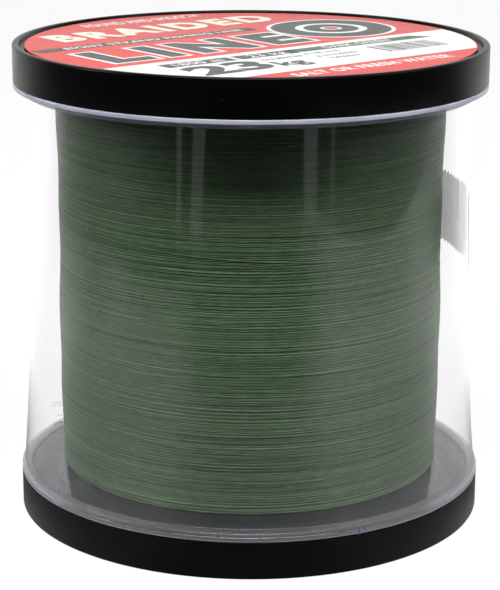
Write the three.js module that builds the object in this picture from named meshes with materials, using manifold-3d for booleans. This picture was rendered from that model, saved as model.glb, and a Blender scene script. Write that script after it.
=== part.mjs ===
// A large bulk spool of braided fishing line, standing on its lower end cap.
// Millimetres, +Z up, origin at the centre of the spool's underside.
//
// Two clear moulded halves join at the middle of a hollow barrel, and each carries a flange.
// The line is wound on the barrel between the flanges. A black cap plugs into each end of the
// barrel with six snap fingers, and a printed disc sits in the upper cap's recess. A clear film
// is wrapped loosely around the line and taped shut. It stands on the lower flange's rim, outside
// the shoulder, and leans inward as it rises to the upper flange.

import * as THREE from 'three';
import { mergeVertices } from 'three/addons/utils/BufferGeometryUtils.js';
import Module from 'manifold-3d';

const wasm = await Module();
wasm.setup();

// ---- Driving dimensions -------------------------------------------------------------------

const HEIGHT = 121;          // over both end caps
const RADIUS = 60;           // end caps and flange rims
const GAP = 0.3;             // between pieces that touch
const SEGMENTS = 72;         // facets around every round piece

const CAP_HEIGHT = 9.5;
const CAP_RIM_WIDTH = 1.6;   // raised rim around the label recess
const CAP_RECESS = 1.2;      // depth of the label recess
const CAP_PLATE = 1.8;       // thickness of the cap's disc
const CAP_WALL = 1.8;        // thickness of the cap's skirt
const CAP_EDGE = 0.5;        // rounding of the cap's outer corner
const ARBOR_RADIUS = 8;      // hole through each cap for a winding spindle

const LABEL_RADIUS = 56.9;
const LABEL_THICKNESS = 0.4;

const BARREL_RADIUS = 44;    // outside of the clear barrel
const BARREL_WALL = 2;
const RIM_THICKNESS = 0.9;   // flange outside its shoulder; the film stands on the lower one
const SHOULDER_RADIUS = 57.6;
const SHOULDER_THICKNESS = 2.3;
const SPIGOT_LENGTH = 6;     // overlap of the two barrel halves

const WINDING_RADIUS = 49.6;
const FILM_THICKNESS = 0.3;
const FILM_RADIUS = 58.5;    // inside of the film where it starts, at its lower edge
const FILM_LEAN = 3.6;       // how much nearer the axis the film's upper edge is
const FILM_OVERLAP = THREE.MathUtils.degToRad(14);
const TAPE_THICKNESS = 0.2;

// ---- Worked out from them -----------------------------------------------------------------

const MIDDLE = HEIGHT / 2;
const FLANGE_OUTER_FACE = CAP_HEIGHT + GAP;
const RIM_FACE = FLANGE_OUTER_FACE + RIM_THICKNESS;
const SHOULDER_FACE = FLANGE_OUTER_FACE + SHOULDER_THICKNESS;
const BORE_RADIUS = BARREL_RADIUS - BARREL_WALL;
const START_TAPE_RADIUS = BARREL_RADIUS + GAP;
const WINDING_BORE = START_TAPE_RADIUS + TAPE_THICKNESS + GAP;
const FILM_BOTTOM = RIM_FACE + GAP;
const FILM_TOP = HEIGHT - SHOULDER_FACE - GAP;
const FILM_PITCH = FILM_THICKNESS + GAP;   // how far the wrap grows outward in one turn

// ---- Helpers ------------------------------------------------------------------------------

// A list of [radius, height] pairs, anticlockwise, revolved about the Z axis.
function revolve(profile) {
  const points = profile.map(([radius, height]) => new THREE.Vector2(radius, height));
  if (profile[0][0] > 0) points.push(points[0].clone());
  const geometry = new THREE.LatheGeometry(points, SEGMENTS);
  return geometry.rotateX(Math.PI / 2);
}

function toSolid(geometry) {
  const bare = geometry.clone();
  bare.deleteAttribute('normal');
  bare.deleteAttribute('uv');
  const merged = mergeVertices(bare, 1e-4);
  return new wasm.Manifold(new wasm.Mesh({
    numProp: 3,
    vertProperties: new Float32Array(merged.attributes.position.array),
    triVerts: new Uint32Array(merged.index.array),
  }));
}

function toGeometry(solid) {
  const { vertProperties, triVerts } = solid.getMesh();
  const geometry = new THREE.BufferGeometry();
  geometry.setAttribute('position', new THREE.BufferAttribute(vertProperties, 3));
  geometry.setIndex(new THREE.BufferAttribute(triVerts, 1));
  geometry.computeVertexNormals();
  return geometry;
}

// Cuts the shape's boxes out of it, one after another.
function cutAway(geometry, cutters) {
  let solid = toSolid(geometry);
  for (const cutter of cutters) solid = solid.subtract(toSolid(cutter));
  return toGeometry(solid);
}

// A box set at a radius and height and turned to an angle about the Z axis.
function boxAtAngle(size, radius, height, angle) {
  const box = new THREE.BoxGeometry(...size);
  box.translate(radius, 0, height);
  return box.rotateZ(angle);
}

// A thin strip standing on edge around the Z axis. radiusAt gives its inner radius at an angle.
function curvedStrip({ from, to, bottom, top, thickness, radiusAt }) {
  const steps = Math.max(4, Math.ceil((to - from) / (2 * Math.PI) * SEGMENTS));
  const inner = [];
  const outer = [];
  for (let i = 0; i <= steps; i += 1) {
    const angle = from + (to - from) * i / steps;
    const radius = radiusAt(angle);
    inner.push(new THREE.Vector2(radius * Math.cos(angle), radius * Math.sin(angle)));
    const edge = radius + thickness;
    outer.push(new THREE.Vector2(edge * Math.cos(angle), edge * Math.sin(angle)));
  }
  const outline = new THREE.Shape([...outer, ...inner.reverse()]);
  const options = { depth: top - bottom, bevelEnabled: false };
  return new THREE.ExtrudeGeometry(outline, options).translate(0, 0, bottom);
}

// Draws a strip's points in towards the axis, as far as the leaning film is at each height.
function leanInward(geometry) {
  const points = geometry.attributes.position;
  for (let i = 0; i < points.count; i += 1) {
    const rise = (points.getZ(i) - FILM_BOTTOM) / (FILM_TOP - FILM_BOTTOM);
    const share = 1 - FILM_LEAN * rise / FILM_RADIUS;
    points.setXY(i, points.getX(i) * share, points.getY(i) * share);
  }
  return geometry;
}

function mesh(name, geometry, look) {
  const piece = new THREE.Mesh(geometry, new THREE.MeshStandardMaterial(look));
  piece.name = name;
  return piece;
}

// Turns a piece made for the lower end over, so that it serves the upper end.
function atUpperEnd(piece) {
  piece.rotation.x = Math.PI;
  piece.position.z = HEIGHT;
  return piece;
}

// ---- Materials ----------------------------------------------------------------------------

const BLACK_PLASTIC = { color: 0x0c0d0d, roughness: 0.5, metalness: 0 };
const CLEAR_PLASTIC = {
  color: 0xe4e8f4, roughness: 0.08, metalness: 0, transparent: true, opacity: 0.35,
};
const GREEN_BRAID = { color: 0x2f4231, roughness: 0.7, metalness: 0 };
const CLEAR_FILM = {
  color: 0xf2f5f5, roughness: 0.05, metalness: 0, transparent: true, opacity: 0.15,
};
const CLEAR_TAPE = {
  color: 0x9aa39a, roughness: 0.3, metalness: 0, transparent: true, opacity: 0.5,
};
const PRINTED_PAPER = { color: 0xb5322c, roughness: 0.5, metalness: 0 };

// ---- End caps -----------------------------------------------------------------------------

// A quarter circle from the cap's underside round to its outer wall.
function capCorner() {
  const steps = 3;
  const centre = [RADIUS - CAP_EDGE, CAP_EDGE];
  const points = [];
  for (let i = 0; i <= steps; i += 1) {
    const angle = -Math.PI / 2 + (Math.PI / 2) * i / steps;
    points.push([centre[0] + CAP_EDGE * Math.cos(angle), centre[1] + CAP_EDGE * Math.sin(angle)]);
  }
  return points;
}

function endCap(name) {
  const floor = CAP_RECESS + CAP_PLATE;
  const rimInside = RADIUS - CAP_RIM_WIDTH;
  const skirtInside = RADIUS - CAP_WALL;
  const plugOutside = BORE_RADIUS - 0.4;
  const plugInside = plugOutside - 1.6;
  const plugTop = 19.5;
  const stiffener = { inside: 49.4, outside: 50.6, top: 8.6 };
  const profile = [
    [ARBOR_RADIUS, CAP_RECESS],
    [rimInside - 0.3, CAP_RECESS],
    [rimInside, 0.3],
    [rimInside + 0.2, 0],
    ...capCorner(),
    [RADIUS, CAP_HEIGHT - 0.2],
    [RADIUS - 0.2, CAP_HEIGHT],
    [skirtInside, CAP_HEIGHT],
    [skirtInside, floor],
    [stiffener.outside, floor],
    [stiffener.outside, stiffener.top],
    [stiffener.inside, stiffener.top],
    [stiffener.inside, floor],
    [plugOutside, floor],
    [plugOutside, plugTop - 0.8],
    [plugOutside - 0.6, plugTop],
    [plugInside, plugTop],
    [plugInside, floor],
    [ARBOR_RADIUS, floor],
  ];
  // Six slots split the plug into snap fingers.
  const fingers = 6;
  const slotBottom = 7;
  const slotHeight = plugTop - slotBottom + 1;
  const slots = [];
  for (let i = 0; i < fingers; i += 1) {
    const angle = (i + 0.5) * 2 * Math.PI / fingers;
    const middle = (plugInside + plugOutside) / 2;
    slots.push(boxAtAngle([4, 5, slotHeight], middle, slotBottom + slotHeight / 2, angle));
  }
  return mesh(name, cutAway(revolve(profile), slots), BLACK_PLASTIC);
}

function upperLabel() {
  const underside = HEIGHT - CAP_RECESS + GAP;
  return mesh('upper_label', revolve([
    [0, underside],
    [LABEL_RADIUS, underside],
    [LABEL_RADIUS, underside + LABEL_THICKNESS],
    [0, underside + LABEL_THICKNESS],
  ]), PRINTED_PAPER);
}

// ---- Clear spool --------------------------------------------------------------------------

// The end of a barrel half: a thin spigot, or the socket that it enters.
function barrelEnd(isSpigot) {
  const halfGap = GAP / 2;
  const split = BARREL_RADIUS - BARREL_WALL / 2;
  const step = MIDDLE - SPIGOT_LENGTH / 2 - halfGap;
  const reach = MIDDLE + SPIGOT_LENGTH / 2 - halfGap;
  if (isSpigot) {
    return [
      [BARREL_RADIUS, step],
      [split - halfGap, step],
      [split - halfGap, reach],
      [BORE_RADIUS, reach],
    ];
  }
  return [
    [BARREL_RADIUS, reach],
    [split + halfGap, reach],
    [split + halfGap, step],
    [BORE_RADIUS, step],
  ];
}

function spoolHalf(name, isSpigot, notchAngle) {
  const ring = { inside: 57.2, outside: 57.8, bottom: FLANGE_OUTER_FACE - 3 };
  const profile = [
    [BORE_RADIUS, FLANGE_OUTER_FACE],
    [ring.inside, FLANGE_OUTER_FACE],
    [ring.inside, ring.bottom],
    [ring.outside, ring.bottom],
    [ring.outside, FLANGE_OUTER_FACE],
    [RADIUS, FLANGE_OUTER_FACE],
    [RADIUS, RIM_FACE],
    [SHOULDER_RADIUS, RIM_FACE],
    [SHOULDER_RADIUS, SHOULDER_FACE - 0.3],
    [SHOULDER_RADIUS - 0.3, SHOULDER_FACE],
    [BARREL_RADIUS, SHOULDER_FACE],
    ...barrelEnd(isSpigot),
  ];
  // A small notch in the flange's rim, where the moulding's gate was trimmed.
  const notch = boxAtAngle([1.6, 1.6, 3], RADIUS, RIM_FACE, notchAngle);
  return mesh(name, cutAway(revolve(profile), [notch]), CLEAR_PLASTIC);
}

// ---- Line and its tapes -------------------------------------------------------------------

function lineWinding() {
  const bottom = SHOULDER_FACE + GAP;
  const top = HEIGHT - bottom;
  const shoulder = 0.4;
  return mesh('line_winding', revolve([
    [WINDING_BORE, bottom],
    [WINDING_RADIUS - shoulder, bottom],
    [WINDING_RADIUS, bottom + shoulder],
    [WINDING_RADIUS, top - shoulder],
    [WINDING_RADIUS - shoulder, top],
    [WINDING_BORE, top],
  ]), GREEN_BRAID);
}

// A strip of tape lying around the axis, centred on an angle and a height.
function tape(name, { radius, angle, length, height, width }) {
  const half = length / radius / 2;
  return mesh(name, curvedStrip({
    from: angle - half,
    to: angle + half,
    bottom: height - width / 2,
    top: height + width / 2,
    thickness: TAPE_THICKNESS,
    radiusAt: () => radius,
  }), CLEAR_TAPE);
}

const lineStartTape = tape('line_start_tape', {
  radius: START_TAPE_RADIUS, angle: Math.PI / 2, length: 25, height: 20, width: 12,
});

const lineEndTape = tape('line_end_tape', {
  radius: WINDING_RADIUS + GAP, angle: Math.PI / 2, length: 25, height: 96, width: 12,
});

// ---- Film sleeve --------------------------------------------------------------------------

// The outer end of the film's overlap, at the right.
const SEAM_ANGLE = THREE.MathUtils.degToRad(6);

function sleeveFilm() {
  const from = SEAM_ANGLE - FILM_OVERLAP;
  const to = SEAM_ANGLE + 2 * Math.PI;
  const strip = curvedStrip({
    from,
    to,
    bottom: FILM_BOTTOM,
    top: FILM_TOP,
    thickness: FILM_THICKNESS,
    radiusAt: (angle) => FILM_RADIUS + FILM_PITCH * (angle - from) / (2 * Math.PI),
  });
  return mesh('sleeve_film', leanInward(strip), CLEAR_FILM);
}

const outermostFilm = FILM_RADIUS + FILM_THICKNESS
  + FILM_PITCH * (2 * Math.PI + FILM_OVERLAP) / (2 * Math.PI);

const sleeveTape = tape('sleeve_tape', {
  radius: outermostFilm + GAP, angle: SEAM_ANGLE + THREE.MathUtils.degToRad(2.5), length: 36,
  height: 74, width: 20,
});
leanInward(sleeveTape.geometry);

// ---- The spool ----------------------------------------------------------------------------

const group = new THREE.Group();
group.add(
  endCap('lower_end_cap'),
  atUpperEnd(endCap('upper_end_cap')),
  upperLabel(),
  spoolHalf('lower_spool_half', true, THREE.MathUtils.degToRad(-61)),
  atUpperEnd(spoolHalf('upper_spool_half', false, THREE.MathUtils.degToRad(77))),
  lineWinding(),
  lineStartTape,
  lineEndTape,
  sleeveFilm(),
  sleeveTape,
);

export default group;
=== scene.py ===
import math

import bmesh
import bpy
import numpy as np
from mathutils import Matrix, Vector


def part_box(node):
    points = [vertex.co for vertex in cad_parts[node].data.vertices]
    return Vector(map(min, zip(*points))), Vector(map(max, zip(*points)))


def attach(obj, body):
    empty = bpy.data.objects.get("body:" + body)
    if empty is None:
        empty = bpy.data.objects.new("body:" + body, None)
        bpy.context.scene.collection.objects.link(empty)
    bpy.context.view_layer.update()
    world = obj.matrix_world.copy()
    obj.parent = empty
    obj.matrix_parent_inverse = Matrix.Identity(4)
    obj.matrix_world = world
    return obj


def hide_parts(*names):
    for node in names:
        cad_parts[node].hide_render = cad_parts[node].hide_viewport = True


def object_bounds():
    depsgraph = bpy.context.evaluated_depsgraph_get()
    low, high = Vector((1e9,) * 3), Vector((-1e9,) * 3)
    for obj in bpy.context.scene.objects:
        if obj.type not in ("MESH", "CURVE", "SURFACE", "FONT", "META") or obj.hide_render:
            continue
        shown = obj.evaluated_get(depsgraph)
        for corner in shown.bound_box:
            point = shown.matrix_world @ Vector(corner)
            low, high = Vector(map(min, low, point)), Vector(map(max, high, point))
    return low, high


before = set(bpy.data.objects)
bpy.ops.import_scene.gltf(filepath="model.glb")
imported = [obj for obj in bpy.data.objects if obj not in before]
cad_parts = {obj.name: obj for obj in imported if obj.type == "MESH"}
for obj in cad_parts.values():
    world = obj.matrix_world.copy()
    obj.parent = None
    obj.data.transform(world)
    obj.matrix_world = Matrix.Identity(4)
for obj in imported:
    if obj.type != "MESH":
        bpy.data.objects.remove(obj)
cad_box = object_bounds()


def add_object(name, data):
    piece = bpy.data.objects.new(name, data)
    bpy.context.scene.collection.objects.link(piece)
    return piece


# ---- Sizes --------------------------------------------------------------------------------

MM = 0.001

# From the frame.
RADIUS = cad_box[1][0]                      # end caps and flange rims
HEIGHT = cad_box[1][2]
WINDING_LOW, WINDING_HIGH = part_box("line_winding")
WINDING_RADIUS = WINDING_HIGH.x
FILM_LOW, FILM_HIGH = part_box("sleeve_film")
TAPE_LOW, TAPE_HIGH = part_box("sleeve_tape")
LABEL_LOW, LABEL_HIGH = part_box("upper_label")
LABEL_RADIUS = LABEL_HIGH.x
END_TAPE_LOW, END_TAPE_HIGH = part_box("line_end_tape")
PLUG_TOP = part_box("lower_end_cap")[1].z     # the tips of the lower cap's snap fingers

# Details that the nodes' boxes don't give. Heights are those of the lower end.
CAP_HEIGHT = 9.5 * MM
CAP_RIM_WIDTH = 1.6 * MM
CAP_RECESS = 1.2 * MM
CAP_FLOOR = CAP_RECESS + 1.8 * MM
CAP_WALL = 1.8 * MM
ARBOR_RADIUS = 8 * MM
PLUG_RADIUS = 41.6 * MM
PLUG_WALL = 1.6 * MM
BARREL_RADIUS = 44 * MM
BARREL_WALL = 2 * MM
RIM_FACE = 10.7 * MM                        # where the film stands
SHOULDER_RADIUS = 57.6 * MM
SHOULDER_FACE = 12.1 * MM

SMOOTH = 288                                # facets around the smooth round pieces


# ---- Camera -------------------------------------------------------------------------------

def add_camera():
    """A long lens in front of the object, looking a little down at it."""
    back, up = 8.56 * RADIUS, 3.234 * RADIUS
    downward = 15.21                        # degrees
    data = bpy.data.cameras.new("camera")
    data.sensor_width = 36
    data.lens = 124.6
    data.clip_start = 0.01
    camera = add_object("camera", data)
    tilt = Matrix.Rotation(math.radians(90 - downward), 4, "X")
    roll = Matrix.Rotation(0.0043, 4, "Z")
    camera.matrix_world = Matrix.Translation((0, -back, up)) @ tilt @ roll
    bpy.context.scene.camera = camera


add_camera()


# ---- Node helpers -------------------------------------------------------------------------

WHITE = (1, 1, 1, 1)


class Nodes:
    """The node tree of a material or a world, with short calls to add and join nodes. place is
    where a point is on the object, or for a world the direction that is looked in."""

    def __init__(self, name, kind="Material"):
        owners, coordinates = {"Material": (bpy.data.materials, "Object"),
                               "World": (bpy.data.worlds, "Generated")}[kind]
        self.owner = owners.new(name)
        self.owner.use_nodes = True
        self.tree = self.owner.node_tree
        self.tree.nodes.clear()
        self.output = self.add(f"ShaderNodeOutput{kind}")
        self.place = self.add("ShaderNodeTexCoord").outputs[coordinates]

    def add(self, kind, values=None, **settings):
        node = self.tree.nodes.new(kind)
        for key, value in settings.items():
            setattr(node, key, value)
        for key, value in (values or {}).items():
            if isinstance(value, bpy.types.NodeSocket):
                self.tree.links.new(value, node.inputs[key])
            else:
                node.inputs[key].default_value = value
        return node

    def shader(self, kind, values):
        return self.add(f"ShaderNode{kind}", values).outputs[0]

    def mix(self, factor, a, b):
        """Shader a where the factor is 0, and shader b where it is 1."""
        return self.shader("MixShader", {0: factor, 1: a, 2: b})

    def finish(self, shader):
        """Ends the tree with a shader, and returns the material or the world."""
        self.tree.links.new(shader, self.output.inputs["Surface"])
        return self.owner

    def math(self, operation, a, b):
        return self.add("ShaderNodeMath", {0: a, 1: b}, operation=operation).outputs[0]

    def times(self, a, b):
        return self.math("MULTIPLY", a, b)

    def spread(self, factor, low, high, at=(0.3, 0.7), curve="LINEAR"):
        """Maps a factor from the range at to the range low to high."""
        values = {"Value": factor, "From Min": at[0], "From Max": at[1],
                  "To Min": low, "To Max": high}
        node = self.add("ShaderNodeMapRange", values, interpolation_type=curve)
        return node.outputs["Result"]

    def noise(self, scale, detail=2.0, stretch=(1, 1, 1), where=None):
        mapping = self.add("ShaderNodeMapping", {"Vector": where or self.place, "Scale": stretch})
        values = {"Vector": mapping.outputs[0], "Scale": scale, "Detail": detail}
        return self.add("ShaderNodeTexNoise", values).outputs["Fac"]

    def ramp(self, factor, stops):
        """Colours along a factor, from stops of a position and a colour."""
        node = self.add("ShaderNodeValToRGB", {"Fac": factor})
        ramp = node.color_ramp
        while len(ramp.elements) < len(stops):
            ramp.elements.new(0.5)
        for element, (position, colour) in zip(ramp.elements, stops):
            element.position = position
            element.color = (*colour, 1)
        return node.outputs["Color"]

    def tinted(self, colour, tint):
        """A colour multiplied by another."""
        node = self.add("ShaderNodeMix", data_type="RGBA", blend_type="MULTIPLY")
        node.inputs[0].default_value = 1.0
        self.tree.links.new(colour, node.inputs[6])
        self.tree.links.new(tint, node.inputs[7])
        return node.outputs[2]

    def bump(self, height, distance, strength):
        values = {"Height": height, "Distance": distance, "Strength": strength}
        return self.add("ShaderNodeBump", values).outputs["Normal"]

    def axes(self):
        return self.add("ShaderNodeSeparateXYZ", {0: self.place}).outputs

    def from_axis(self):
        """The distance from the Z axis."""
        flat = self.add("ShaderNodeVectorMath", {0: self.place, 1: (1, 1, 0)}, operation="MULTIPLY")
        length = self.add("ShaderNodeVectorMath", {0: flat.outputs[0]}, operation="LENGTH")
        return length.outputs["Value"]

    def unrolled(self):
        """Coordinates unrolled around the Z axis: the angle, and the height."""
        axes = self.axes()
        angle = self.math("ARCTAN2", axes["Y"], axes["X"])
        return self.add("ShaderNodeCombineXYZ", {"X": angle, "Z": axes["Z"]}).outputs[0]

    def behind(self):
        """1 on the back of a face, and 0 on its front."""
        return self.add("ShaderNodeNewGeometry").outputs["Backfacing"]

    def bounce(self, index):
        """How much a thin sheet of this index of refraction mirrors, alike from either side."""
        two_sided = self.spread(self.behind(), index, 1 / index, at=(0, 1))
        return self.add("ShaderNodeFresnel", {"IOR": two_sided}).outputs[0]


# ---- Materials ----------------------------------------------------------------------------

def black_plastic():
    """Satin black plastic with a fine grain, faint smudges and a little dust."""
    n = Nodes("black_plastic")
    dust = n.spread(n.noise(1500, detail=1), 0, 1, at=(0.80, 0.83))
    return n.finish(n.shader("BsdfPrincipled", {
        "Base Color": n.ramp(dust, [(0.0, (0.0022, 0.0021, 0.0021)), (1.0, (0.09, 0.10, 0.08))]),
        "Roughness": n.spread(n.noise(35, detail=3), 0.24, 0.34),
        "Specular IOR Level": 0.105,
        "Normal": n.bump(n.noise(2600, detail=3), 0.02 * MM, 0.3),
    }))


def clear_plastic(name, painted_glow_face, painted_glow_side, painted_highlight_foot, shine_rim):
    """Clear plastic, faintly hazy, whose rim is whitened with a milky layer as a painted glow: on
    its face, outside the shoulder, and on its side. Along the foot of that side, where it meets the
    cap, the same layer makes a painted highlight line. shine_rim is the rim's added gloss."""
    frost_elsewhere = 0.012
    gloss_share = 0.64                      # of what such plastic could mirror
    n = Nodes(name)
    flow = n.noise(60)
    radius = n.from_axis()
    ledge = (SHOULDER_RADIUS - 0.1 * MM, SHOULDER_RADIUS)
    rounding = (SHOULDER_RADIUS - 0.7 * MM, SHOULDER_RADIUS - 0.4 * MM)
    edge = (RADIUS - 0.4 * MM, RADIUS - 0.1 * MM)
    above_cap = (CAP_HEIGHT + 0.22 * MM, CAP_HEIGHT + 0.42 * MM)

    # Painted glow: the milky layer's share rises outside the shoulder, and again on the rim's side.
    rim = n.math("ADD", n.spread(radius, frost_elsewhere, painted_glow_face, at=ledge),
                 n.spread(radius, 0, painted_glow_side - painted_glow_face, at=edge))
    # Painted highlight: a milky band along the foot of the rim's side, just above the cap.
    foot = n.times(n.spread(n.axes()["Z"], painted_highlight_foot, 0, at=above_cap),
                   n.spread(radius, 0, 1, at=edge))
    haze_and_painted_glow_share = n.math("ADD", n.times(rim, n.spread(flow, 0.9, 1.1)), foot)
    shine = n.math("ADD", n.times(n.bounce(1.58), gloss_share),
                   n.spread(radius, 0, shine_rim, at=ledge))

    gloss = n.shader("BsdfGlossy", {
        "Color": WHITE,
        "Roughness": n.math("ADD", n.spread(flow, 0.05, 0.11),
                            n.spread(radius, 0, 0.30, at=rounding)),
    })
    see_through = n.shader("BsdfTransparent", {
        "Color": n.ramp(flow, [(0.3, (0.90, 0.91, 0.95)), (0.7, (0.93, 0.94, 0.97))])})
    # The milky layer: a faint haze everywhere, the rim's painted glow and the foot's painted
    # highlight.
    haze_and_painted_glow = n.shader("BsdfPrincipled", {
        "Base Color": n.ramp(flow, [(0.3, (0.72, 0.76, 0.93)), (0.7, (0.80, 0.83, 0.97))]),
        "Roughness": n.spread(flow, 0.35, 0.45),
    })
    return n.finish(n.mix(haze_and_painted_glow_share, n.mix(shine, see_through, gloss), haze_and_painted_glow))


def green_braid(name, dark, light):
    """Wound line: each stretch of thread has its own tone, and a fine braid along it."""
    n = Nodes(name)
    around = n.unrolled()
    tone = n.add("ShaderNodeAttribute", attribute_name="tone").outputs["Fac"]
    patch = n.noise(1, detail=4, stretch=(14, 1, 900), where=around)
    braid = n.noise(1, stretch=(260, 1, 6000), where=around)
    warm = n.noise(1, stretch=(45, 1, 2600), where=around)
    green = n.ramp(n.math("ADD", n.times(tone, 0.6), n.times(patch, 0.6)),
                   [(0.25, dark), (0.95, light)])
    tint = n.ramp(warm, [(0.30, (0.80, 1.0, 1.0)), (0.5, (1.0, 1.0, 1.0)),
                         (0.70, (1.35, 1.0, 0.9))])
    return n.finish(n.shader("BsdfPrincipled", {
        "Base Color": n.tinted(green, tint),
        "Roughness": n.spread(patch, 0.36, 0.56),
        "Specular IOR Level": 0.35,
        "Normal": n.bump(braid, 0.04 * MM, 0.5),
    }))


def clear_film():
    """Clear film. Its inner side mirrors less, as the line's own dull shade fills it."""
    outer_gloss, inner_gloss = 1.7, 0.5
    n = Nodes("clear_film")
    haze = n.noise(25, detail=3, stretch=(1, 1, 0.3))
    shine = n.times(n.bounce(1.5), n.spread(n.behind(), outer_gloss, inner_gloss, at=(0, 1)))
    gloss = n.shader("BsdfGlossy", {
        "Color": WHITE,
        "Roughness": n.spread(haze, 0.02, 0.06),
        "Normal": n.bump(haze, 0.1 * MM, 0.3),
    })
    return n.finish(n.mix(shine, n.shader("BsdfTransparent", {"Color": WHITE}), gloss))


def clear_tape():
    """Tape gone dull and streaky, and denser where it is seen nearly edge on."""
    n = Nodes("clear_tape")
    streak = n.noise(1, detail=3, stretch=(90, 1, 40), where=n.unrolled())
    edge_on = n.add("ShaderNodeLayerWeight", {"Blend": 0.25}).outputs["Facing"]
    dense = n.math("ADD", n.spread(streak, 0.54, 0.74),
                   n.spread(edge_on, 0, 0.35, at=(0.2, 0.9)))
    body = n.shader("BsdfPrincipled", {
        "Base Color": n.ramp(streak, [(0.3, (0.07, 0.09, 0.07)), (0.75, (0.19, 0.225, 0.18))]),
        "Roughness": 0.5,
        "Specular IOR Level": 0.08,
    })
    clear = n.shader("BsdfTransparent", {"Color": (0.9, 0.94, 0.9, 1)})
    return n.finish(n.mix(dense, clear, body))


def print_ink(name, colour):
    """Ink on coated paper: slightly uneven colour under a satin varnish."""
    n = Nodes(name)
    mottle = n.noise(400, detail=4)
    darker = tuple(c * 0.92 for c in colour)
    return n.finish(n.shader("BsdfPrincipled", {
        "Base Color": n.ramp(mottle, [(0.3, darker), (0.7, colour)]),
        "Roughness": n.spread(mottle, 0.38, 0.48),
        "Specular IOR Level": 0.5,
        "Normal": n.bump(n.noise(1800), 0.01 * MM, 0.4),
    }))


# ---- Mesh helpers -------------------------------------------------------------------------

def add_mesh(name, vertices, faces, material, sharp=30):
    """A mesh object, smooth except at edges sharper than the given number of degrees."""
    mesh = bpy.data.meshes.new(name)
    faces = np.asarray(faces)
    mesh.vertices.add(len(vertices))
    mesh.vertices.foreach_set("co", np.asarray(vertices, np.float32).ravel())
    corners = faces.shape[1]
    mesh.loops.add(faces.size)
    mesh.loops.foreach_set("vertex_index", faces.ravel().astype(np.int32))
    mesh.polygons.add(len(faces))
    starts = np.arange(len(faces), dtype=np.int32) * corners
    mesh.polygons.foreach_set("loop_start", starts)
    mesh.update(calc_edges=True)
    mesh.validate()
    mesh.shade_smooth()
    mesh.set_sharp_from_angle(angle=math.radians(sharp))
    mesh.materials.append(material)
    return add_object(name, mesh)


def around_axis(angle, radius, height):
    """Points at an angle about the Z axis, at a distance from it, and at a height."""
    points = np.stack([radius * np.cos(angle), radius * np.sin(angle), height], -1)
    return points.reshape(-1, 3)


def grid_faces(rows, columns, close_rows=False, close_columns=False):
    """Quads over a grid of vertices numbered row by row."""
    i = np.arange(rows if close_rows else rows - 1)
    j = np.arange(columns if close_columns else columns - 1)
    i, j = np.meshgrid(i, j, indexing="ij")
    k, m = (i + 1) % rows, (j + 1) % columns
    quads = np.stack([i * columns + j, i * columns + m, k * columns + m, k * columns + j], -1)
    return quads.reshape(-1, 4)


def wall_faces(around, up):
    """Quads facing outward over a wall whose vertices run up, and then around the Z axis."""
    return grid_faces(around, up)[:, ::-1]


def fillet(corners):
    """Rounds a closed outline of (radius, height, rounding) corners."""
    steps = 4
    points = []
    count = len(corners)
    for i, (x, y, rounding) in enumerate(corners):
        corner = Vector((x, y))
        if rounding <= 0:
            points.append(corner)
            continue
        before = Vector(corners[i - 1][:2]) - corner
        after = Vector(corners[(i + 1) % count][:2]) - corner
        half = before.angle(after) / 2
        cut = rounding / math.tan(half)
        start = corner + before.normalized() * cut
        end = corner + after.normalized() * cut
        inward = (before.normalized() + after.normalized()).normalized()
        middle = corner + inward * (rounding / math.sin(half))
        for step in range(steps + 1):
            along = start.lerp(end, step / steps) - middle
            points.append(middle + along.normalized() * rounding)
    return points


def revolve(name, corners, material, start=0.0, turn=2 * math.pi, segments=SMOOTH, shape=None):
    """Revolves a closed outline about the Z axis, all the way round or through part of a turn.
    shape may move the points: it takes angles, radii and heights, and returns the last two."""
    outline = np.array([tuple(p) for p in fillet(corners)])
    whole = turn == 2 * math.pi
    columns = segments if whole else segments + 1
    angles = start + turn * np.arange(columns) / segments
    angle, radius = np.meshgrid(angles, outline[:, 0], indexing="xy")
    height = np.repeat(outline[:, 1][:, None], columns, 1)
    if shape:
        radius, height = shape(angle, radius, height)
    faces = grid_faces(len(outline), columns, close_rows=True, close_columns=whole)
    piece = add_mesh(name, around_axis(angle, radius, height), faces, material)
    if not whole:
        close_ends(piece)
    return piece


def close_ends(piece):
    """Fills the open edges of a mesh."""
    work = bmesh.new()
    work.from_mesh(piece.data)
    open_edges = [e for e in work.edges if e.is_boundary]
    bmesh.ops.holes_fill(work, edges=open_edges, sides=0)
    bmesh.ops.recalc_face_normals(work, faces=work.faces)
    work.to_mesh(piece.data)
    work.free()


def turned_over(piece):
    """Turns a piece made for the lower end over, for the upper end."""
    piece.data.transform(Matrix.Translation((0, 0, HEIGHT)) @ Matrix.Rotation(math.pi, 4, "X"))
    return piece


def joined(pieces):
    """One object made of several."""
    bpy.context.view_layer.update()
    with bpy.context.temp_override(active_object=pieces[0], selected_editable_objects=pieces):
        bpy.ops.object.join()
    return pieces[0]


def place(piece, body, slot, *nodes):
    """Rides a piece on its body, and hides the nodes that it stands for. slot is not used."""
    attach(piece, body)
    if nodes:
        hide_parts(*nodes)
    return piece


# ---- End caps -----------------------------------------------------------------------------

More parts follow.
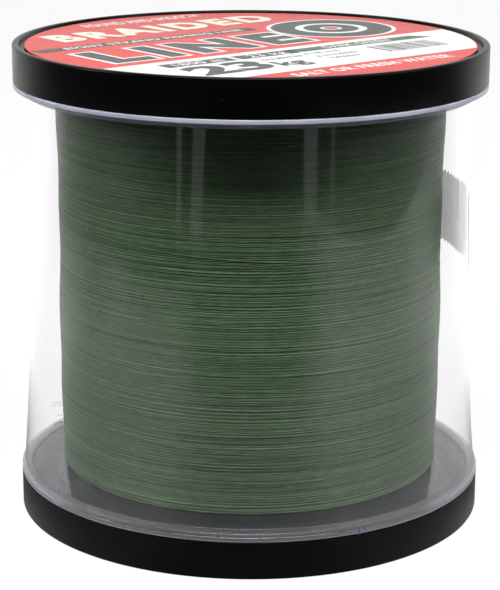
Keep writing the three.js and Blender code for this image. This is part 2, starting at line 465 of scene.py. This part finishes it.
def end_cap(name, material):
    """The lower end cap: a disc with a rim, a skirt, a stiffening ring and a snap plug whose
    end is slit into fingers. Each corner is a radius, a height and a rounding."""
    rim_inside = RADIUS - CAP_RIM_WIDTH
    skirt_inside = RADIUS - CAP_WALL
    plug_inside = PLUG_RADIUS - PLUG_WALL
    slit_foot = 7 * MM
    stiffener_inside, stiffener_outside, stiffener_end = 49.4 * MM, 50.6 * MM, 8.6 * MM
    disc = revolve(name, [
        (ARBOR_RADIUS, CAP_RECESS, 0.2 * MM),
        (rim_inside - 0.35 * MM, CAP_RECESS, 0.25 * MM),
        (rim_inside, 0, 0.45 * MM),
        (RADIUS, 0, 0.55 * MM),
        (RADIUS, CAP_HEIGHT, 0.18 * MM),
        (skirt_inside, CAP_HEIGHT, 0.15 * MM),
        (skirt_inside, CAP_FLOOR, 0.3 * MM),
        (stiffener_outside, CAP_FLOOR, 0.3 * MM),
        (stiffener_outside, stiffener_end, 0.2 * MM),
        (stiffener_inside, stiffener_end, 0.2 * MM),
        (stiffener_inside, CAP_FLOOR, 0.3 * MM),
        (PLUG_RADIUS, CAP_FLOOR, 0.3 * MM),
        (PLUG_RADIUS, slit_foot, 0.05 * MM),
        (plug_inside, slit_foot, 0.05 * MM),
        (plug_inside, CAP_FLOOR, 0.3 * MM),
        (ARBOR_RADIUS, CAP_FLOOR, 0.2 * MM),
    ], material)
    fingers = 6
    share = 2 * math.pi / fingers
    slit = 5 * MM / PLUG_RADIUS
    finger_foot = slit_foot - 0.5 * MM
    outline = [
        (plug_inside, finger_foot, 0),
        (PLUG_RADIUS, finger_foot, 0),
        (PLUG_RADIUS, PLUG_TOP - 3.2 * MM, 0),
        (PLUG_RADIUS + 0.25 * MM, PLUG_TOP - 2.2 * MM, 0.2 * MM),
        (PLUG_RADIUS - 0.6 * MM, PLUG_TOP, 0.15 * MM),
        (plug_inside, PLUG_TOP, 0.15 * MM),
    ]
    pieces = [disc]
    for i in range(fingers):
        start = (i - 0.5) * share + slit / 2
        pieces.append(revolve(f"{name}_finger_{i}", outline, material, start=start,
                              turn=share - slit, segments=32))
    return joined(pieces)


# ---- Clear spool --------------------------------------------------------------------------

def spool_half(name, material, is_spigot):
    """A flange with its half of the barrel, just clear of the cap's skirt. Each corner is a
    radius, a height and a rounding. The halves meet in a spigot and a socket."""
    outer_face = CAP_HEIGHT + 0.05 * MM
    ring_inside, ring_outside = 57.2 * MM, 57.8 * MM
    ring_end = CAP_HEIGHT - 2.7 * MM
    bore = BARREL_RADIUS - BARREL_WALL
    split = BARREL_RADIUS - BARREL_WALL / 2
    glue_gap = 0.15 * MM
    low, high = HEIGHT / 2 - 3.15 * MM, HEIGHT / 2 + 2.85 * MM
    if is_spigot:
        outer_end, lap, inner_end = low, split - glue_gap, high
    else:
        outer_end, lap, inner_end = high, split + glue_gap, low
    return revolve(name, [
        (bore, outer_face, 0.2 * MM),
        (ring_inside, outer_face, 0.1 * MM),
        (ring_inside, ring_end, 0.1 * MM),
        (ring_outside, ring_end, 0.1 * MM),
        (ring_outside, outer_face, 0.1 * MM),
        (RADIUS, outer_face, 0.2 * MM),
        (RADIUS, RIM_FACE, 0.15 * MM),
        (SHOULDER_RADIUS, RIM_FACE, 0.15 * MM),
        (SHOULDER_RADIUS, SHOULDER_FACE, 0.2 * MM),
        (BARREL_RADIUS, SHOULDER_FACE, 0.5 * MM),
        (BARREL_RADIUS, outer_end, 0.1 * MM),
        (lap, outer_end, 0.1 * MM),
        (lap, inner_end, 0.1 * MM),
        (bore, inner_end, 0.1 * MM),
    ], material)


# ---- Wound line ---------------------------------------------------------------------------

THREAD_RADIUS = 0.145 * MM
THREAD_FLATNESS = 0.6                        # wound under tension, the braid lies flat
LAYER_PITCHES = (0.7, 0.45, 0.36, 0.33)      # in millimetres, from the outermost layer inward
LAYER_STEP = 0.04 * MM                       # how much deeper each layer lies
CROSSING_PITCHES = (13, 17)                  # of the steep turns on the outside
CROSSING_DEPTH = THREAD_RADIUS - 0.02 * MM
CORE_DEPTH = 0.30 * MM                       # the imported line's side, below the winding's


def winding_side(height):
    """The radius of the winding's slightly uneven side at a height. Its hollow, in
    millimetres, has a long wave and a short one."""
    level = (height - WINDING_LOW.z) / MM
    hollow = 0.30 + 0.18 * np.sin(level / 9.3 + 1.1) + 0.12 * np.sin(level / 3.9 + 0.4)
    return WINDING_RADIUS - hollow * MM


def smooth_random(random, length, knots):
    """A smooth random curve of the given length through evenly spaced random knots."""
    values = random.normal(0, 1, knots + 4)
    at = np.linspace(1, knots + 1, length)
    i = np.floor(at).astype(int)
    t = at - i
    ease = t * t * (3 - 2 * t)
    return values[i] * (1 - ease) + values[i + 1] * ease


def thread_layer(name, material, depth, pitch, upward, seed):
    """One layer of the winding: a helix, as half tubes facing outward. Single turns wander,
    groups of them drift, and each stretch of thread has its own tone."""
    random = np.random.default_rng(seed)
    low = WINDING_LOW.z + THREAD_RADIUS
    high = WINDING_HIGH.z - THREAD_RADIUS
    turns = max(1, round((high - low) / pitch))
    steps = 96
    count = turns * steps + 1
    turn = np.linspace(0, turns, count)
    wander = smooth_random(random, count, turns * 3) * 0.10 * MM
    drift = smooth_random(random, count, max(2, turns // 3)) * 0.25 * MM
    height = np.clip(low + (high - low) * turn / turns + wander + drift, low, high)
    if not upward:
        height = height[::-1]
    lift = winding_side(height) - depth + smooth_random(random, count, turns * 5) * 0.025 * MM
    angle = 2 * math.pi * turn + random.uniform(0, 6)
    section = np.radians([-80, -28, 28, 80])
    out = lift[:, None] + THREAD_FLATNESS * THREAD_RADIUS * np.cos(section)
    up = height[:, None] + THREAD_RADIUS * np.sin(section)
    vertices = around_axis(angle[:, None], out, up)
    piece = add_mesh(name, vertices, wall_faces(count, len(section)), material, sharp=180)
    tone = 0.5 + 0.17 * smooth_random(random, count, turns * 2)
    tone += 0.12 * smooth_random(random, count, turns * 14)
    attribute = piece.data.attributes.new("tone", "FLOAT", "POINT")
    attribute.data.foreach_set("value", np.repeat(tone, len(section)).astype(np.float32))
    return piece


def winding_core(name, material):
    """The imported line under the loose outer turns, with a faintly wavy side."""
    outside = WINDING_RADIUS - CORE_DEPTH
    inside = BARREL_RADIUS + 0.05 * MM

    def wavy(angle, radius, height):
        side = radius > (inside + outside) / 2
        wave = 0.05 * MM * np.sin(height / (1.1 * MM) + 3 * angle)
        return np.where(side, winding_side(height) - CORE_DEPTH + wave, radius), height

    rows = 120
    low, high = WINDING_LOW.z, WINDING_HIGH.z
    side = [(outside, low + (high - low) * i / rows, 0) for i in range(rows + 1)]
    corners = [(inside, low, 0), *side, (inside, high, 0)]
    return revolve(name, corners, material, shape=wavy, segments=144)


# ---- Film sleeve and tapes ----------------------------------------------------------------

FILM_RADIUS = 59.0 * MM                      # at its foot
FILM_LEAN = 4.0 * MM                         # how much nearer the axis its upper edge is
FILM_SHIFT = 0.7 * MM                        # how far its upper edge leans to the right
FILM_STEP = 0.6 * MM                         # its overlap is this far outside its first turn
FILM_OVERLAP = math.radians(14)
SEAM_ANGLE = math.radians(6)                 # the film's outer edge, at the right
FILM_START = SEAM_ANGLE - FILM_OVERLAP
RIPPLES = ((0.12 * MM, 3, 1), (0.08 * MM, 7, 2), (0.05 * MM, 13, 0))     # depth, waves, phase
DENT_DEPTH = 2.0 * MM
DENT_ANGLE = math.radians(4)
DENT_SPREAD = math.radians(16)
TAPE_LIFT = 0.12 * MM                        # a tape's face above what it sticks to
CREASE_LIFT = 0.15 * MM


def film_radius(angle, height):
    """The loose film leans inward and a little to the right, grows outward through its turn,
    ripples, and is pushed in beside the seam tape. It is held round at its two edges."""
    around = np.mod(angle - FILM_START, 2 * math.pi + 1e-9)
    level = (height - FILM_LOW.z) / (FILM_HIGH.z - FILM_LOW.z)
    rise = np.clip(level, 0, 1)
    lean = FILM_LEAN * (1 - (1 - rise) ** 1.5) - FILM_SHIFT * rise * np.cos(angle)
    growth = FILM_STEP * around / (2 * math.pi)
    slack = np.clip(np.sin(math.pi * level), 0, 1) ** 0.5
    ripple = sum(depth * np.sin(waves * angle + phase) for depth, waves, phase in RIPPLES)
    from_dent = np.mod(angle - DENT_ANGLE + math.pi, 2 * math.pi) - math.pi
    dent = DENT_DEPTH * np.exp(-(from_dent / DENT_SPREAD) ** 2)
    return FILM_RADIUS - lean + growth + (ripple - dent) * slack


def film_sheet(name, material):
    """The clear film: one turn and a short overlap."""
    around, up = 300, 32
    foot = FILM_LOW.z - 0.25 * MM
    turn = (2 * math.pi + FILM_OVERLAP) * np.linspace(0, 1, around)
    turn, height = np.meshgrid(turn, np.linspace(foot, FILM_HIGH.z, up), indexing="ij")
    angle = FILM_START + turn
    radius = film_radius(angle, height) + np.where(turn >= 2 * math.pi, FILM_STEP, 0)
    vertices = around_axis(angle, radius, height)
    return add_mesh(name, vertices, wall_faces(around, up), material, sharp=180)


def on_film(angle, height):
    """The radius of a tape on the film, which steps out where the film overlaps."""
    around = np.mod(angle - FILM_START, 2 * math.pi)
    step = np.where(around < FILM_OVERLAP, FILM_STEP, 0)
    return film_radius(angle, height) + step + TAPE_LIFT


def on_tape(angle, height):
    return on_film(angle, height) + CREASE_LIFT


def on_line(angle, height):
    return np.full_like(angle, WINDING_RADIUS + TAPE_LIFT)


def tape_patch(name, material, low, high, surface, centre, half_angle, tooth):
    """A curved patch of tape with toothed upper and lower edges. surface gives its radius at
    an angle and height."""
    teeth, rows = 14, 10
    columns = teeth * 2 + 1
    across = np.linspace(-1, 1, columns)
    zigzag = np.where(np.arange(columns) % 2 == 0, 0, tooth)
    bottom = low.z + zigzag
    top = high.z - zigzag
    up = np.linspace(0, 1, rows)
    height = bottom[:, None] * (1 - up) + top[:, None] * up
    angle = np.repeat((centre + half_angle * across)[:, None], rows, 1)
    vertices = around_axis(angle, surface(angle, height), height)
    return add_mesh(name, vertices, wall_faces(columns, rows), material, sharp=180)


# ---- Printed disc -------------------------------------------------------------------------

PRINT_ANGLE = math.radians(39.5)             # how far the print is turned on the disc
INK_STEP = 0.02 * MM                         # one layer of print above another
CAPITAL_SHARE = 0.73                         # a capital's height, as a share of the font's size


def printed(piece, layer):
    """Lays a flat piece drawn in millimetres on the disc, turned as the print is."""
    lift = LABEL_HIGH.z + layer * INK_STEP
    turn = Matrix.Rotation(PRINT_ANGLE, 4, "Z")
    piece.data.transform(Matrix.Translation((0, 0, lift)) @ turn @ Matrix.Scale(MM, 4))
    return place(piece, "upper_cap", "printed_paper")


def flat_shape(name, outline, material, layer):
    vertices = [(x, y, 0) for x, y in outline]
    return printed(add_mesh(name, vertices, [list(range(len(vertices)))], material), layer)


def disc_band(name, low, high, material, layer):
    """The part of the disc between two heights across the print."""
    edge = LABEL_RADIUS / MM - 0.4
    steps = 64
    outline = []
    for sign, bottom, top in ((1, low, high), (-1, high, low)):
        first, last = math.asin(bottom / edge), math.asin(top / edge)
        for i in range(steps + 1):
            angle = first + (last - first) * i / steps
            outline.append((sign * edge * math.cos(angle), edge * math.sin(angle)))
    return flat_shape(name, outline, material, layer)


def box_shape(name, left, low, right, high, material, layer, slant=0.0):
    shift = slant * (high - low)
    outline = [(left, low), (right, low), (right + shift, high), (left + shift, high)]
    return flat_shape(name, outline, material, layer)


def ring_shape(name, x, y, outside, inside, material, layer):
    steps = 72
    angle = 2 * math.pi * np.arange(steps) / steps
    circle = np.stack([np.cos(angle), np.sin(angle), 0 * angle], -1)
    vertices = np.concatenate([circle * outside, circle * inside]) + (x, y, 0)
    faces = grid_faces(2, steps, close_columns=True)
    return printed(add_mesh(name, vertices, faces, material), layer)


def words(name, text, left, low, size, width, material, layer, bold, wide=1.1):
    """Plain lettering, its capitals size millimetres high, fitted to a width. bold is how far
    its outlines are pushed out, and wide is how far apart its letters stand."""
    curve = bpy.data.curves.new(name, "FONT")
    curve.body = text
    curve.size = (size - 2 * bold) / CAPITAL_SHARE
    curve.space_character = wide
    curve.offset = bold
    curve.resolution_u = 4
    letters = add_object(name, curve)
    bpy.context.view_layer.update()
    shown = letters.evaluated_get(bpy.context.evaluated_depsgraph_get())
    mesh = bpy.data.meshes.new_from_object(shown)
    bpy.data.objects.remove(letters)
    lowest = min(v.co.x for v in mesh.vertices)
    highest = max(v.co.x for v in mesh.vertices)
    stretch = Matrix.Diagonal((width / (highest - lowest), 1, 1, 1))
    start = Matrix.Translation((-lowest, bold, 0))
    mesh.transform(Matrix.Translation((left, low, 0)) @ stretch @ start)
    mesh.materials.clear()
    mesh.materials.append(material)
    return printed(add_object(name, mesh), layer)


def label_disc(name, material):
    edge = 0.12 * MM
    hub = 0.01 * MM                          # keeps the outline just off the axis
    return revolve(name, [
        (hub, LABEL_LOW.z, 0),
        (LABEL_RADIUS, LABEL_LOW.z, edge),
        (LABEL_RADIUS, LABEL_HIGH.z, edge),
        (hub, LABEL_HIGH.z, 0),
    ], material)


def bar_pattern(material, layer):
    """A row of bars of random widths, which encodes nothing."""
    random = np.random.default_rng(5)
    x, end = 17.0, 37
    while x < end:
        width = random.choice([0.35, 0.6, 0.9])
        box_shape(f"print_bar_{int(x * 100)}", x, -33.5, x + width, -24, material, layer)
        x += width + random.choice([0.35, 0.6, 0.8])


def label_print():
    """Generic print: bands, plain words, sizes, a ring device and a bar pattern. Places and
    sizes are in millimetres across the print, from the disc's centre."""
    white = print_ink("ink_white", (0.80, 0.80, 0.78))
    cream = print_ink("ink_cream", (0.80, 0.77, 0.66))
    dark = print_ink("ink_dark", (0.030, 0.040, 0.036))
    green = print_ink("ink_green", (0.022, 0.095, 0.045))

    disc_band("print_white_band", -42, -12.7, white, 1)
    box_shape("print_dark_strip", -52.5, 16.4, 16, 20.9, dark, 1)
    words("print_small_title", "ROUND AND SMOOTH", -17, 46.8, 5.0, 38, white, 1, bold=0.2)
    words("print_title", "BRAIDED", -37.6, 27.8, 13.4, 71, cream, 2, bold=0.9, wide=1.25)
    words("print_strip_words", "EIGHT STRAND FISHING LINE", -44, 17.2, 2.9, 56, white, 2, bold=0.1)
    words("print_line_edge", "LINE", -48.5, -8.9, 21.6, 64.5, white, 1, bold=2.4, wide=1.36)
    words("print_line", "LINE", -47.2, -7.9, 19.6, 61.9, dark, 2, bold=1.3, wide=1.36)
    device = (33, 6.8)
    ring_shape("print_spool_edge", *device, 17.2, 2, white, 1)
    ring_shape("print_spool", *device, 16.0, 9.6, dark, 2)
    ring_shape("print_spool_hub", *device, 7.4, 3.0, dark, 2)
    box_shape("print_length_box", -42, -21.3, -21.5, -16.3, dark, 2)
    words("print_length", "1800 m", -39, -20.5, 3.5, 14.5, white, 3, bold=0.1)
    box_shape("print_weight_box", -20, -21.3, -1.5, -16.3, dark, 2)
    words("print_weight", "23 kg", -16.5, -20.5, 3.5, 11.5, white, 3, bold=0.1)
    words("print_strength", "23", -42, -35.6, 13.2, 22, dark, 2, bold=0.7, wide=1)
    words("print_kilograms", "kg", -18.5, -35.2, 7, 8.6, dark, 2, bold=0.3, wide=1)
    box_shape("print_green_strip", -0.5, -20.8, 43, -16.3, green, 2, slant=-0.8)
    words("print_colour_name", "DARK GREEN", 8, -19.9, 3.0, 22, white, 3, bold=0.1)
    fine = (("DIAMETER", -17.5, -26.2, 13), ("0.28 mm", -3, -24.9, 11),
            ("8 STRAND", -3, -29.4, 13), ("GREEN", -2, -33.4, 9))
    for i, (text, left, low, width) in enumerate(fine, 1):
        words(f"print_fine_{i}", text, left, low, 1.9, width, dark, 2, bold=0.05)
    bar_pattern(dark, 2)
    words("print_use", "SALT OR FRESH WATER", -26, -48.9, 4.4, 50, white, 1, bold=0.22)


# ---- Loose fibres -------------------------------------------------------------------------

def fibre(name, start, bend, end, thickness, material):
    """A fine hair, or a short stub, tapering along a curve through three points."""
    t = np.linspace(0, 1, 10)[:, None]
    path = (1 - t) ** 2 * start + 2 * t * (1 - t) * bend + t * t * end
    ring = np.radians(np.arange(0, 360, 60))
    taper = thickness * (1 - 0.6 * t)
    vertices = np.stack([
        path[:, None, 0] + taper * np.cos(ring),
        path[:, None, 1] + 0 * ring,
        path[:, None, 2] + taper * np.sin(ring),
    ], -1)
    faces = grid_faces(len(path), len(ring), close_columns=True)
    return add_mesh(name, vertices.reshape(-1, 3), faces, material, sharp=180)


# ---- Build --------------------------------------------------------------------------------

def build_ends():
    """The two caps, and the printed disc in the upper one."""
    black = black_plastic()
    red = print_ink("ink_red", (0.62, 0.052, 0.040))
    lower = end_cap("lower_cap_moulding", black)
    place(lower, "lower_cap", "black_plastic", "lower_end_cap")
    upper = turned_over(end_cap("upper_cap_moulding", black))
    place(upper, "upper_cap", "black_plastic", "upper_end_cap")
    place(label_disc("label_disc", red), "upper_cap", "printed_paper", "upper_label")
    label_print()


def build_spool(clear_upper_painted_glow):
    """The two halves of the spool. The upper one's rim is whitened as a painted glow, and the lower
    one's foot carries a painted highlight line.
    """
    clear_lower_painted_highlight = clear_plastic("clear_plastic_lower", painted_glow_face=0.016, painted_glow_side=0.06,
                                painted_highlight_foot=0.9, shine_rim=0.14)
    lower = spool_half("lower_clear_half", clear_lower_painted_highlight, is_spigot=True)
    place(lower, "spool", "clear_plastic", "lower_spool_half")
    upper = turned_over(spool_half("upper_clear_half", clear_upper_painted_glow, is_spigot=False))
    place(upper, "spool", "clear_plastic", "upper_spool_half")


def build_line(braid):
    """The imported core, the layers of thread over it, and the steep turns that cross them."""
    # The core shows only in the gaps between the turns, and is coloured darker than the threads:
    # painted shade in those gaps.
    deep_braid_painted_shade = green_braid("green_braid_deep_painted_shade", (0.032, 0.066, 0.029), (0.110, 0.200, 0.099))
    place(winding_core("wound_line_core", deep_braid_painted_shade), "spool", "green_braid", "line_winding")
    layers = [("layer", i, THREAD_RADIUS + i * LAYER_STEP, pitch, i % 2 == 0, 11 + i)
              for i, pitch in enumerate(LAYER_PITCHES)]
    layers += [("crossing", i, CROSSING_DEPTH, pitch, i == 0, 31 + i)
               for i, pitch in enumerate(CROSSING_PITCHES)]
    for kind, i, depth, pitch, upward, seed in layers:
        name = f"wound_line_{kind}_{i + 1}"
        layer = thread_layer(name, braid, depth, pitch * MM, upward, seed)
        place(layer, "spool", "green_braid")


def build_film(tape):
    """The film, its seam tape with one crease, and the two tapes on the line."""
    place(film_sheet("film_wrap", clear_film()), "sleeve", "clear_film", "sleeve_film")
    seam_tape = tape_patch("seam_tape", tape, TAPE_LOW, TAPE_HIGH, on_film,
                           SEAM_ANGLE + math.radians(2.5), 18 * MM / TAPE_HIGH.x, 0.9 * MM)
    place(seam_tape, "sleeve", "clear_tape", "sleeve_tape")
    crease_low = TAPE_LOW + Vector((0, 0, 9 * MM))
    crease = tape_patch("seam_tape_crease", tape, crease_low, TAPE_HIGH, on_tape,
                        SEAM_ANGLE + math.radians(3), math.radians(1.3), 0.5 * MM)
    place(crease, "sleeve", "clear_tape")
    half_angle = 12.5 * MM / (WINDING_RADIUS + TAPE_LIFT)
    end_tape = tape_patch("line_end_tape_strip", tape, END_TAPE_LOW, END_TAPE_HIGH, on_line,
                          math.pi / 2, half_angle, 0.5 * MM)
    place(end_tape, "spool", "clear_tape", "line_end_tape")
    start_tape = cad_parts["line_start_tape"]
    start_tape.data.materials.clear()
    start_tape.data.materials.append(tape)


def build_gate_stub(clear):
    """What is left of the moulding's gate, on the edge of the lower flange."""
    gate = math.radians(-63.8)
    rim = RADIUS + 0.15 * MM
    start = np.array([rim * math.cos(gate), rim * math.sin(gate), RIM_FACE - 0.7 * MM])
    bend = start + (0.1 * MM, 0, 0.5 * MM)
    end = start + (0.35 * MM, 0, 1.2 * MM)
    # The upper half's painted glow makes the stub a painted glint.
    stub = fibre("moulding_gate_stub", start, bend, end, 0.62 * MM, clear)
    close_ends(stub)
    place(stub, "spool", "clear_plastic")


def build_hairs(braid):
    """Short hairs of line that stand out low on the winding's left."""
    random = np.random.default_rng(3)
    for i in range(5):
        height = (21 + 1.6 * i) * MM
        angle = math.radians(random.uniform(186, 196))
        start = np.array([WINDING_RADIUS * math.cos(angle), WINDING_RADIUS * math.sin(angle),
                          height])
        reach = random.uniform(1.6, 3.2) * MM
        bend = start + (-0.5 * reach, -0.2 * reach, 0.5 * reach)
        end = start + (-reach, -0.3 * reach, -0.4 * reach * random.uniform(0, 1))
        hair = fibre(f"loose_fibre_{i + 1}", start, bend, end, 0.06 * MM, braid)
        place(hair, "spool", "green_braid")


def build_object():
    # The upper half's rim is whitened strongly as a painted glow; the lower half's rim is nearly
    # clear.
    clear_upper_painted_glow = clear_plastic("clear_plastic_upper", painted_glow_face=0.56, painted_glow_side=0.76,
                                painted_highlight_foot=0.0, shine_rim=0.0)
    braid = green_braid("green_braid", (0.030, 0.066, 0.027), (0.150, 0.270, 0.136))
    build_ends()
    build_spool(clear_upper_painted_glow)
    build_line(braid)
    build_film(clear_tape())
    build_gate_stub(clear_upper_painted_glow)
    build_hairs(braid)


# ---- Studio -------------------------------------------------------------------------------
# Azimuths are in degrees from the camera's side, to the right, and distances are in metres.

AIM = Vector((0, 0, 0.06))

# Lamp panels: azimuth, distance, height, width and length, and how bright, where 1 is as
# bright as white paper. The rear pair only fills, and makes no reflections.
PANELS = (
    ("left", -80, 0.48, 0.34, (0.13, 0.30), 7.0),
    ("right_front", 65, 0.46, 0.44, (0.13, 0.30), 3.4),
    ("right", 80, 0.48, 0.34, (0.13, 0.30), 2.8),
    ("top", 0, 0.27, 0.62, (0.5, 0.17), 17.2),
    ("rear", -150, 0.60, 0.20, (0.30, 0.30), 1.6),
    ("rear", 150, 0.60, 0.20, (0.30, 0.30), 1.6),
)

# Light on the floor that only reflections show: from and to azimuth, from and to distance, how
# bright, the degrees that its sides take to fade in, and its nearer end's share of fading.
FLOOR_LIGHTS = (
    ("light_streak_1", (-38.2, -35.0), (0.50, 1.2), 0.30, 0.4, 1.12),
    ("light_streak_2", (-29.6, -22.8), (0.50, 1.2), 0.30, 0.4, 1.12),
    ("light_streak_3", (24.0, 31.0), (0.50, 1.2), 0.33, 0.4, 1.12),
    ("light_streak_4", (37.8, 40.2), (0.50, 1.2), 0.21, 0.4, 1.12),
    ("light_patch_left", (-112, -60), (0.20, 0.50), 0.15, 18, 1.35),
    ("light_patch_front_left", (-84, -20), (0.22, 0.50), 0.30, 16, 1.4),
    ("light_patch_front_right", (22, 104), (0.22, 0.62), 0.45, 16, 1.4),
)


def grey(level):
    return (level, level, level)


def table_glow(n):
    """How bright the table is in reflections: white behind the object, and fading to dark in
    front of it, where the light tent is open. The object shades it close by."""
    out = n.from_axis()
    axes = n.axes()
    backward = n.math("DIVIDE", axes["Y"], out)
    rightward = n.math("DIVIDE", axes["X"], out)
    in_front = n.spread(backward, 1, 0, at=(-0.5, 0.75))
    front = n.spread(out, 0.24, 0.0, at=(0.09, 0.30))
    forward = n.times(backward, -1)
    levels = ((0.0, 0.0), (0.34, 0.28), (0.60, 0.42), (0.84, 0.42), (0.94, 0.20), (1.0, 0.12))
    beside = n.times(n.ramp(forward, [(at, grey(level)) for at, level in levels]),
                     n.spread(out, 1, 0, at=(0.24, 0.38)))
    falls_off = n.times(n.spread(out, 0, 1, at=(0.28, 0.46)),
                        n.spread(backward, 0.8, 0.0, at=(0.30, 0.60)))
    back = n.times(n.math("SUBTRACT", 1.0, falls_off), n.spread(out, 0.25, 1.0, at=(0.07, 0.16)))
    mixed = n.math("ADD", n.times(front, in_front),
                   n.times(back, n.math("SUBTRACT", 1.0, in_front)))
    return n.times(n.math("ADD", mixed, beside), n.spread(rightward, 1.0, 1.2, at=(-1, 1)))


def add_floor():
    """A white table. The camera sees it nearly evenly white, reflections see table_glow, and
    the object is lit by a share of that."""
    n = Nodes("studio_floor")
    glow = table_glow(n)
    mottled = n.ramp(n.noise(3), [(0.0, grey(0.06)), (1.0, grey(0.08))])
    seen = n.shader("AddShader", {
        0: n.shader("BsdfDiffuse", {"Color": mottled}),
        1: n.shader("Emission", {"Color": WHITE, "Strength": 0.95})})
    mirrored = n.shader("Emission", {"Strength": glow})
    share = n.times(glow, 0.22)
    tone = n.add("ShaderNodeCombineXYZ", {"X": share, "Y": share, "Z": share}).outputs[0]
    lit = n.shader("BsdfDiffuse", {"Color": tone})
    ray = n.add("ShaderNodeLightPath").outputs
    unseen = n.mix(ray["Is Glossy Ray"], lit, mirrored)
    material = n.finish(n.mix(ray["Is Camera Ray"], unseen, seen))
    half = 3.0
    corners = [(-half, -half, 0), (half, -half, 0), (half, half, 0), (-half, half, 0)]
    add_mesh("studio_floor", corners, [[0, 1, 2, 3]], material)


def floor_light(name, azimuths, distances, strength, soft, fade):
    """Extra light on the floor, seen only in reflections. It fades in from its nearer end, over
    soft degrees at its sides, and out towards its far end."""
    n = Nodes(name)
    out = n.from_axis()
    axes = n.axes()
    azimuth = n.math("ARCTAN2", axes["X"], n.times(axes["Y"], -1))
    first, last, blur = (math.radians(v) for v in (*azimuths, soft))
    near, far = distances
    sides = n.times(n.spread(azimuth, 0, 1, at=(first, first + blur)),
                    n.spread(azimuth, 1, 0, at=(last - blur, last)))
    ends = n.times(n.spread(out, 0, 1, at=(near, near * fade)),
                   n.spread(out, 1, 0, at=(far * 0.8, far)))
    level = n.times(n.times(sides, ends), strength)
    glow = n.shader("AddShader", {
        0: n.shader("Emission", {"Color": WHITE, "Strength": level}),
        1: n.shader("BsdfTransparent", {"Color": WHITE})})
    lift = 0.5 * MM
    corners = []
    for i, j in ((0, 0), (1, 0), (1, 1), (0, 1)):
        angle = math.radians(azimuths[i] - 90)
        corners.append((distances[j] * math.cos(angle), distances[j] * math.sin(angle), lift))
    card = add_mesh(name, corners, [[0, 1, 2, 3]], n.finish(glow))
    card.visible_camera = False
    card.visible_transmission = False
    card.visible_diffuse = False
    card.visible_shadow = False


def add_panel(name, azimuth, distance, height, size, brightness):
    """A rectangular lamp, aimed at the object."""
    light = bpy.data.lights.new(name, "AREA")
    light.shape = "RECTANGLE"
    light.size, light.size_y = size
    light.energy = brightness * math.pi * size[0] * size[1]
    lamp = add_object(name, light)
    angle = math.radians(azimuth - 90)
    centre = Vector((distance * math.cos(angle), distance * math.sin(angle), height))
    turn = (AIM - centre).to_track_quat("-Z", "Y").to_matrix().to_4x4()
    lamp.matrix_world = Matrix.Translation(centre) @ turn
    lamp.visible_glossy = name != "rear"


def add_world():
    """White for the camera. In reflections, white behind the object and dark in front."""
    n = Nodes("studio", "World")
    behind = n.spread(n.axes()["Y"], 0.0, 1.0, at=(0.1, 0.8), curve="SMOOTHSTEP")
    backdrop = n.shader("Background", {"Color": WHITE, "Strength": behind})
    unlit = n.shader("Background", {"Color": WHITE, "Strength": 0.0})
    seen = n.shader("Background", {"Color": WHITE, "Strength": 0.985})
    ray = n.add("ShaderNodeLightPath").outputs
    unseen = n.mix(ray["Is Glossy Ray"], unlit, backdrop)
    bpy.context.scene.world = n.finish(n.mix(ray["Is Camera Ray"], unseen, seen))


def add_studio():
    add_floor()
    add_world()
    for panel in PANELS:
        add_panel(*panel)
    for light in FLOOR_LIGHTS:
        floor_light(*light)
    bpy.context.scene.view_settings.view_transform = "Standard"


build_object()
add_studio()
